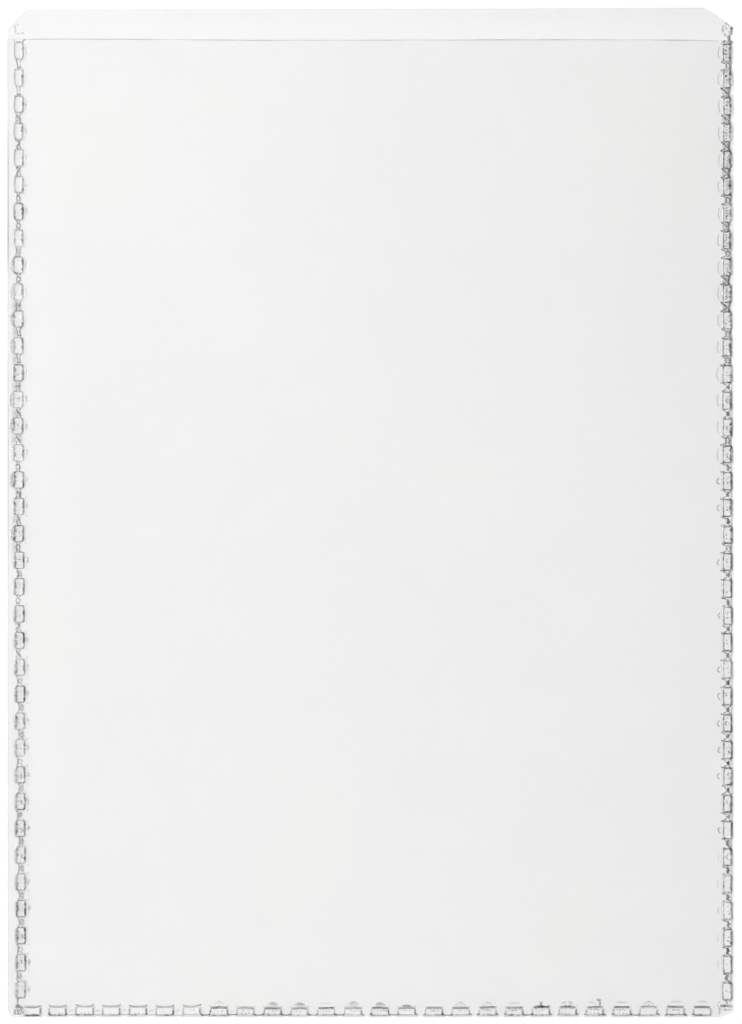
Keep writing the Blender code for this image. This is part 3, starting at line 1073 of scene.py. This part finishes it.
def addLinks(pool, weld, marks, rng):
    along = np.array(weld["along"])
    for one, two in zip(marks, marks[1:]):
        middle = (one["spine"] + along * one["half"][0] + two["spine"] - along * two["half"][0]) / 2
        if one["full"] and two["full"]:
            for name in chosen(weld["links"], one["share"], rng):
                addStrands(pool, weld, middle, linkStrands[name], frontTop, rng)


def addImprints(pool, weld, marks, rng):
    for mark in marks:
        if not mark["full"]:
            continue
        girth = mark["half"][1] / markShape["halfWidth"]
        for name in chosen(weld["beside"], mark["share"], rng):
            addStrands(pool, weld, mark["middle"], markStrands[name], frontTop, rng, girth=girth)
        for name in chosen(weld["within"], mark["share"], rng):
            loose = name not in laying["unshifted"]
            shift = tuple(rng.uniform(-m, m) for m in laying["shifts"]) if loose else (0, 0)
            addStrands(pool, weld, mark["middle"], floorStrands[name], markFloor, rng, shift, girth)


# What the electrode left on the lip above each side weld, placed like one more mark up the weld
lipStrands = {
    "leftWeld": (
        (20, 40, (15, -78), (80, -74), (142, -62)),
        (20, 29, (143, -50), (146, -10)),
        (20, 37, (138, 15), (134, 75)),
        (20, 29, (5, -50), (-8, -22)),
        (20, 36, (284, -74), (260, -82), (232, -100)),
        (22, 46, (284, 42), (260, 54), (228, 84)),
    ),
    "rightWeld": (
        (42, 20, (-20, 43), (10, 56), (50, 60), (110, 50)),
        (26, 26, (30, 66), (80, 62)),
        (36, 34, (-28, 40), (-38, 20), (-38, 0), (-28, -18)),
        (30, 30, (-28, -18), (-5, -40), (11, -54)),
        (30, 30, (20, 10), (57, 14)),
        (30, 30, (-5, 20), (5, 30)),
        (42, 50, (124, 44), (146, 28)),
        (46, 56, (11, -57), (57, -66), (100, -60), (134, -54)),
        (42, 62, (20, -62), (36, -82)),
        (52, 68, (126, -54), (150, -38)),
        (40, 20, (70, -40), (110, -30)),
        (30, 20, (146, 26), (162, -2), (146, -34)),
        (52, 62, (145, -43), (195, -36), (257, -43)),
        (36, 55, (266, 68), (242, 52), (234, 12)),
        (30, 34, (234, 12), (250, -10), (270, -20)),
        (50, 62, (287, -34), (262, -60), (249, -80)),
        (44, 56, (260, -45), (285, -50)),
    ),
}


def addLipImprint(pool, weld, marks, rng):
    middle = marks[0]["spine"] - np.array(weld["along"]) * markShape["pitch"]
    addStrands(pool, weld, middle, lipStrands[weld["name"]], lipTop, rng)


# Where the welds meet at the corners: a ribbed patch on the left, a heavy bar on the right, and the
# bottom weld's cut-off first mark; placed from the middle of the corner mark or of that first mark
cornerStrands = {
    "leftWeld": (
        (26, 45, (-215, -31), (-185, -12), (-160, 0)),
        (24, 40, (-195, 40), (-180, 20), (-160, 5)),
        (34, 45, (-170, -2), (-130, -3), (-95, -2)),
        (30, 45, (-100, -4), (-70, -16), (-40, -30)),
        (26, 32, (-100, 2), (-70, 16), (-40, 38)),
        (50, 21, (-85, 0), (-40, 5)),
        (30, 52, (-37, -40), (-40, 20), (-32, 82)),
        (30, 48, (-6, -40), (32, -50), (66, -42)),
        (32, 54, (-20, -18), (32, 4), (74, 20)),
        (26, 48, (-20, 40), (17, 64), (60, 87)),
        (28, 40, (32, 28), (74, 47)),
        (24, 40, (-10, 12), (30, 36)),
    ),
    "rightWeld": (
        (42, 52, (-26, 110), (-30, 12), (-16, -88)),
        (40, 36, (-28, 50), (-30, 30)),
        (24, 50, (-6, 114), (50, 115), (110, 120)),
        (20, 40, (10, 31), (50, 21)),
        (32, 79, (-75, 2), (-60, 10)),
        (20, 66, (-120, 40), (-95, 0), (-62, 5)),
        (26, 66, (-115, -45), (-85, -50)),
        (17, 37, (-98, 112), (-52, 142), (9, 123)),
    ),
    "bottomWeld": (
        (26, 57, (-130, 64), (-30, 56), (60, 60), (130, 86)),
        (26, 66, (-125, -66), (0, -70), (120, -66)),
    ),
}


def meshOf(name, points, faces, smokeAndShade, crease):
    data = bpy.data.meshes.new(name)
    data.from_pydata([tuple(c * mm for c in p) for p in points], [], faces)
    data.attributes.new("smokeAndShade", "FLOAT", "POINT").data.foreach_set("value", [float(v) for v in smokeAndShade])
    made = bmesh.new()
    made.from_mesh(data)
    bmesh.ops.recalc_face_normals(made, faces=made.faces)
    made.to_mesh(data)
    made.free()
    data.shade_smooth()
    data.set_sharp_from_angle(angle=math.radians(crease))
    return data


def placePiece(name, data, node, material):
    data.materials.append(material)
    piece = bpy.data.objects.new(name, data)
    bpy.context.scene.collection.objects.link(piece)
    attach(piece, "root")
    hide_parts(node)


def makeWeld(weld, material):
    weld["shape"] = unitShape(weld)
    marks = weld["marks"] = marksOf(weld)
    rng = random.Random(weld["seed"] + 1)
    pool = newPool()
    for mark in marks:
        addMark(pool, weld, mark, rng)
    addLinks(pool, weld, marks, rng)
    addImprints(pool, weld, marks, rng)
    if weld["name"] in lipStrands:
        addLipImprint(pool, weld, marks, rng)
    corner = next(m for m in marks if not m["full"])
    ribs = cornerStrands[weld["name"]]
    addStrands(pool, weld, corner["middle"], ribs, frontTop, rng, loose=laying["cornerLoose"])
    data = meshOf(weld["name"], pool["points"], pool["faces"], pool["smokeAndShade"], weldFinish["crease"])
    placePiece(weld["name"], data, weld["node"], material)
    print(weld["name"], len(marks), "marks,", len(pool["faces"]), "faces")
    return marks


fused = fusedPvc()
windows = []
for weld in (leftWeld, rightWeld, bottomWeld):
    windows += windowsOf(weld, makeWeld(weld, fused))

# The cut edges carry a painted grey line for the shade at a clear film's edge, and the top edge and the mouth
# aren't quite square to the sides
cutEdge = {
    "rim": 0.04,
    "rimEnd": 0.5,  # mm above the mouth, from where the lip's edge is clear
    "step": 1.2,
    "hemReach": 0.4,
    "hem": (  # painted shade along the left edge, by height
        (-77.0, 0.0), (-12.0, 0.0), (-4.0, 0.24), (8.0, 0.29), (17.0, 0.24), (24.0, 0.02),
        (36.0, 0.02), (42.0, 0.5), (54.0, 0.56), (60.0, 0.03), (72.0, 0.02),
    ),
    "leftTrim": (0.15, 0.1),  # mm off the frame's left edge, at its lower and upper end
    # Painted shade along the mouth, least and most, before the gain
    "mouthPaintedShade": (0.2, 0.8),
    "mouthKnots": 30,
    "mouthGain": (0.75, 0.5),  # at the left end, and more by the right end
    "mouthMargin": 1,
    "mouthPoints": 61,
    "seed": 5,
    "topSlope": (-0.2, 0.15),  # mm up from the frame's top edge, at its left and right end
    "mouthLine": (0.18, 0.1, -0.05, -0.05, 0.02, 0.04, -0.1),  # the same along the mouth, left to right
}
# Trimmed corners, and the bites that the trimming left in the right edge between the upper marks
cuts = {
    "bottomLeft": {"width": 1.4, "height": 1.4, "fullness": 0.9},
    "bottomRight": {"width": 2.2, "height": 0.9, "fullness": 0.2},
    "topRight": {"width": 4.6, "height": 3.25, "fullness": 0.15},
    "topLeft": {"width": 2.95, "height": 3.0, "fullness": 0.08},
    "bites": {"depth": 0.4, "half": 0.52, "count": 8, "points": 9},
    "nicks": {"depth": 0.12, "half": 0.5, "points": 7},
    "curvePoints": 11,
}


def cornerCurve(corner, start, end, fullness):
    # Quadratic curve that leans towards the corner, all the way at fullness 1
    corner, start, end = (np.array(p, float) for p in (corner, start, end))
    middle = (start + end) / 2
    lean = middle + (corner - middle) * fullness
    t = np.linspace(0, 1, cuts["curvePoints"])[:, None]
    return start * (1 - t) ** 2 + lean * 2 * t * (1 - t) + end * t**2


def notch(middle, depth, cut):
    # (place along the edge, depth there) over one rounded notch
    turns = np.linspace(-1, 1, cut["points"])
    return [(middle + turn * cut["half"], depth * math.cos(turn * math.pi / 2) ** 2) for turn in turns]


def rightEdge(x, top):
    # Points up the right edge, with a bite between two marks that gets shallower from mark to mark
    bites, marks = cuts["bites"], rightWeld["marks"]
    points = []
    for index in reversed(range(bites["count"])):
        middle = (marks[index]["middle"][1] + marks[index + 1]["middle"][1]) / 2
        depth = bites["depth"] * (1 - index / bites["count"])
        points += [(x - deep, y) for y, deep in notch(middle, depth, bites) if y < top]
    return np.array(points)


def bottomEdge(y):
    # Points along the bottom edge, with a shallow nick between two marks
    nicks = cuts["nicks"]
    points = []
    for one, two in zip(bottomWeld["marks"], bottomWeld["marks"][1:]):
        ends = one["middle"][0] + one["half"][0], two["middle"][0] - two["half"][0]
        points += [(x, y + deep) for x, deep in notch(sum(ends) / 2, nicks["depth"], nicks)]
    return np.array(points)


def mouthLine(x):
    rises = cutEdge["mouthLine"]
    return mouth + np.interp(x, np.linspace(frontLow[0], frontHigh[0], len(rises)), rises)


def leftEdge(y):
    return backLow[0] + np.interp(y, (backLow[1], backHigh[1]), cutEdge["leftTrim"])


def outlineOf(low, high, lip):
    y0, (x1, y1) = low[1], high[:2]
    foot, x0 = (leftEdge(y) + low[0] - backLow[0] for y in (y0, y1))

    def cut(name, corner, start, end):
        # The cut's start and end are the corner plus these shares of its width and height
        (x, y), (a, b), (c, d) = corner, start, end
        w, h = cuts[name]["width"], cuts[name]["height"]
        return cornerCurve(corner, (x + a * w, y + b * h), (x + c * w, y + d * h), cuts[name]["fullness"])

    loop = [
        cut("bottomLeft", (foot, y0), (0, 1), (1, 0)),
        bottomEdge(y0),
        cut("bottomRight", (x1, y0), (-1, 0), (0, 1)),
        rightEdge(x1, y1),
    ]
    if lip:
        left, right = (y1 + rise for rise in cutEdge["topSlope"])
        loop.append(cut("topRight", (x1, right), (0, -1), (-1, 0)))
        loop.append(cut("topLeft", (x0, left), (1, 0), (0, -1)))
    else:
        xs = np.linspace(x1, x0, cutEdge["mouthPoints"])
        loop.append(np.column_stack([xs, mouthLine(xs) + y1 - mouth]))
    return spaced(np.concatenate(loop), cutEdge["step"])


def spaced(loop, step):
    # The same closed loop with no stretch longer than step
    points = []
    for p, q in zip(loop, np.roll(loop, -1, axis=0)):
        parts = max(1, math.ceil(np.linalg.norm(q - p) / step))
        points += [p + (q - p) * i / parts for i in range(parts)]
    return np.array(points)


def inside(loop, point):
    # Whether a ray from the point to the right crosses the loop an odd number of times
    p, q = loop, np.roll(loop, -1, axis=0)
    spans = (p[:, 1] > point[1]) != (q[:, 1] > point[1])
    x = p[:, 0] + (point[1] - p[:, 1]) * (q[:, 0] - p[:, 0]) / np.where(spans, q[:, 1] - p[:, 1], 1)
    return np.count_nonzero(spans & (x > point[0])) % 2 == 1


# Points inside a film, in mm
fill = {
    "zones": ((0.7, 0.5, 2.4), (1.3, 2.4, 6.0), (4.0, 6.0, math.inf)),  # step, from and to mm from a weld
    "belowMouth": 0.6,
    "everyTriangle": 0,  # a kind of output of delaunay_2d_cdt
    "tolerance": 1e-6,
    "rows": ((0.2, 0.35, 1), (1.1, 2.5, 7), (2.9, 2.5, 7), (5.1, 2.5, 7)),  # below the mouth, step, margin
    "hem": {"inset": 0.2, "step": 0.4, "aboveBottom": 2, "belowMouth": 1},  # a column beside the left edge
}


def fillPoints():
    # Fine beside the welds and at the mouth, coarse in the middle
    found = []
    for step, low, high in fill["zones"]:
        xs = np.arange(pocketLeft + step / 2, pocketRight, step)
        ys = np.arange(pocketBottom + step / 2, mouth - fill["belowMouth"], step)
        grid = np.array([(x, y) for y in ys for x in xs])
        near = seamDistance(grid[:, 0], grid[:, 1])
        found.append(grid[(near > low) & (near <= high)])
    hem = fill["hem"]
    ys = np.arange(backLow[1] + hem["aboveBottom"], mouth - hem["belowMouth"], hem["step"])
    found.append(np.column_stack([leftEdge(ys) + hem["inset"], ys]))
    for below, step, margin in fill["rows"]:
        xs = np.arange(pocketLeft + margin, pocketRight - margin + 1, step)
        found.append(np.column_stack([xs, mouthLine(xs) - below]))
    return np.concatenate(found)


def filmPlan(outline):
    # Triangles between the film's outline, the windows and the points inside it
    loops = [outline] + windows
    points = np.concatenate(loops + [fillPoints()])
    edges, owner, start = [], np.full(len(points), -1), 0
    for index, loop in enumerate(loops):
        count = len(loop)
        edges += [(start + i, start + (i + 1) % count) for i in range(count)]
        owner[start:start + count] = index
        start += count
    found = geometry.delaunay_2d_cdt(
        [Vector(p) for p in points], edges, [], fill["everyTriangle"], fill["tolerance"]
    )
    plan = np.array([tuple(p) for p in found[0]])
    owner = np.array([owner[ids[0]] for ids in found[3]])
    faces = []
    for face in found[2]:
        owners = {owner[i] for i in face}
        loop = loops[min(owners)] if len(owners) == 1 and min(owners) >= 0 else None
        if loop is None or inside(loop, plan[list(face)].mean(axis=0)) == (min(owners) == 0):
            faces.append(tuple(face))
    return plan, faces, owner


def slab(name, plan, faces, owner, bottom, edge, smokeAndShade):
    # Film of one thickness over the plan, its outer edge pushed out to a half round
    count = len(plan)
    points = [(x, y, z) for (x, y), z in zip(plan, bottom)]
    points += [(x, y, z + filmThickness) for (x, y), z in zip(plan, bottom)]
    shade = list(smokeAndShade) + list(smokeAndShade)
    skin = [tuple(reversed(f)) for f in faces] + [tuple(i + count for i in f) for f in faces]
    sides = {(f[i], f[(i + 1) % 3]) for f in faces for i in range(3)}
    border = sorted((i, j) for i, j in sides if (j, i) not in sides)
    outward = {}
    for i, j in border:
        if owner[i] == 0:
            d = plan[j] - plan[i]
            n = np.array([d[1], -d[0]]) / np.linalg.norm(d)
            outward[i] = outward.get(i, 0) + n
            outward[j] = outward.get(j, 0) + n
    ring = {}
    for i, n in outward.items():
        ring[i] = len(points)
        x, y = plan[i] + n / np.linalg.norm(n) * edge
        points.append((x, y, bottom[i] + filmThickness / 2))
        # The outer edge gets painted shade as a grey line, except on the lip above the mouth
        shade.append(smokeAndShade[i] if y > mouth + cutEdge["rimEnd"] else max(smokeAndShade[i], cutEdge["rim"]))
    for i, j in border:
        if owner[i] == 0:
            skin.append((i, j, ring[j], ring[i]))
            skin.append((ring[i], ring[j], j + count, i + count))
        else:
            skin.append((i, j, j + count, i + count))
    return meshOf(name, points, skin, shade, film["crease"])


def mouthPaintedShade(plan, owner):
    # A painted grey line along the mouth, uneven along its length, for the shade that the clear film's cut
    # edge shows
    rng = random.Random(cutEdge["seed"])
    knots = np.array([rng.uniform(*cutEdge["mouthPaintedShade"]) for i in range(cutEdge["mouthKnots"])])
    x, y = plan[:, 0], plan[:, 1]
    along = np.interp(x, np.linspace(pocketLeft, pocketRight, len(knots)), knots)
    least, more = cutEdge["mouthGain"]
    along *= least + more * (x - pocketLeft) / (pocketRight - pocketLeft)
    margin = cutEdge["mouthMargin"]
    within = (x > pocketLeft + margin) & (x < pocketRight - margin) & (y > mouth - margin)
    return np.where((owner == 0) & within, along, 0.0)


def backPaintedShade(plan, owner):
    # Painted shade that varies across the back film as the light over it does, and painted shade along
    # stretches of its left edge
    x, y = plan[:, 0], plan[:, 1]
    knots = np.linspace(pocketLeft, pocketRight, len(backFilm["paintedShadeAbove"]))
    above, below, lip = (np.interp(x, knots, backFilm[k]) for k in ("paintedShadeAbove", "paintedShadeBelow", "paintedShadeLip"))
    paintedShade = above + (below - above) * smoothStep(*backFilm["paintedShadeTurn"], y)
    paintedShade = paintedShade + lip * smoothStep(mouth, backHigh[1], y)
    heights, edgeShade = np.array(cutEdge["hem"]).T
    within = (owner == 0) & (x < backLow[0] + cutEdge["hemReach"]) & (y < mouth)
    return paintedShade + np.where(within, np.interp(y, heights, edgeShade), 0.0)


def makeFilm(sheet, low, high, lip, height):
    inset = np.array([sheet["edge"], sheet["edge"], 0])
    plan, faces, owner = filmPlan(outlineOf(low + inset, high - inset, lip))
    smokeAndShade = backPaintedShade(plan, owner) if lip else mouthPaintedShade(plan, owner)
    data = slab(sheet["name"], plan, faces, owner, height(plan), sheet["edge"], smokeAndShade)
    finish = "pvcCalendered" + sheet["name"][0].upper() + sheet["name"][1:]
    material = pvcFilm(finish, sheet["haze"], sheet["ior"], sheet["shadow"])
    placePiece(sheet["name"], data, sheet["node"], material)
    print(sheet["name"], len(faces) * 2, "triangles")


makeFilm(backFilm, backLow, backHigh, True, backHeight)
makeFilm(frontFilm, frontLow, frontHigh, False, frontHeight)
